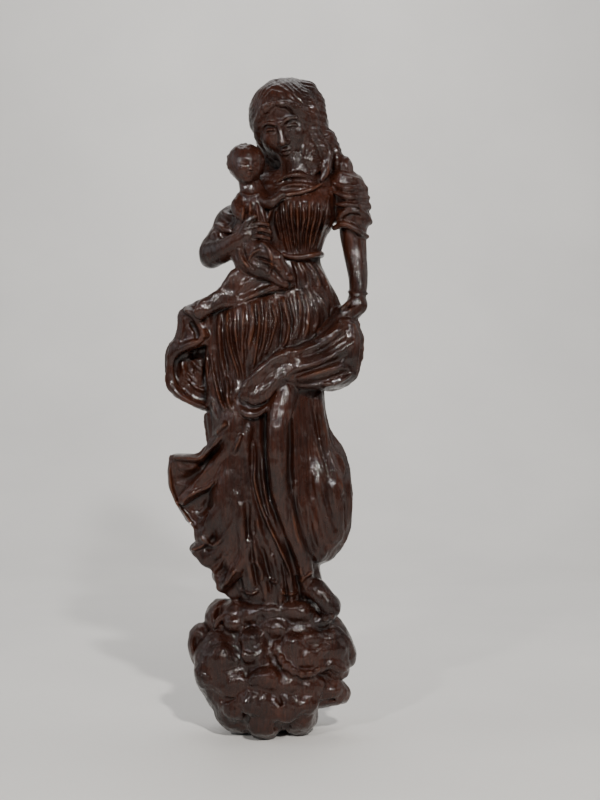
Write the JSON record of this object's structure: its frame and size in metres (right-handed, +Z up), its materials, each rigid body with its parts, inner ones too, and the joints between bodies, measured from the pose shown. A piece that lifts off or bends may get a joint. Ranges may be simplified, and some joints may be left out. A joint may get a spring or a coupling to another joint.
{
  "type": "carved madonna statue",
  "caption": "Free-standing carved wooden figure of a standing woman in a mantle holding a child, on a carved cloud base, dark stain and gloss varnish.",
  "frame": {"origin": "on the flat underside of the cloud base, below the middle of the figure", "axes": "+Z up along the standing figure, the figure faces -Y, her left hand side is +X"},
  "size_m": [0.1541, 0.0805, 0.499],
  "materials": {
    "varnished_wood": "dark red-brown stain under thick gloss varnish, worn to orange-brown on the raised edges",
    "dowel_wood": "bare turned hardwood dowel, inside the glue joints"
  },
  "bodies": {
    "root": {"cloud_base": "varnished_wood", "cloud_left": "varnished_wood", "cloud_right": "varnished_wood", "cloud_right_low": "varnished_wood", "foot": "varnished_wood", "skirt": "varnished_wood", "mantle_left_upper": "varnished_wood", "mantle_left_lower": "varnished_wood", "mantle_fall_right": "varnished_wood", "mantle_hip_right": "varnished_wood", "mantle_swag": "varnished_wood", "torso": "varnished_wood", "head": "varnished_wood", "sleeve_left": "varnished_wood", "forearm_left": "varnished_wood", "sleeve_right": "varnished_wood", "forearm_right": "varnished_wood", "child_body": "varnished_wood", "child_head": "varnished_wood", "base_dowels": "dowel_wood", "waist_dowel": "dowel_wood", "neck_dowel": "dowel_wood", "arm_dowel_left": "dowel_wood", "forearm_dowel_left": "dowel_wood", "arm_dowel_right": "dowel_wood", "forearm_dowel_right": "dowel_wood", "child_dowels": "dowel_wood", "child_neck_dowel": "dowel_wood", "mantle_dowels_left": "dowel_wood", "mantle_dowels_right": "dowel_wood", "swag_dowels": "dowel_wood", "cloud_dowels": "dowel_wood", "foot_dowel": "dowel_wood"}
  },
  "joints": []
}
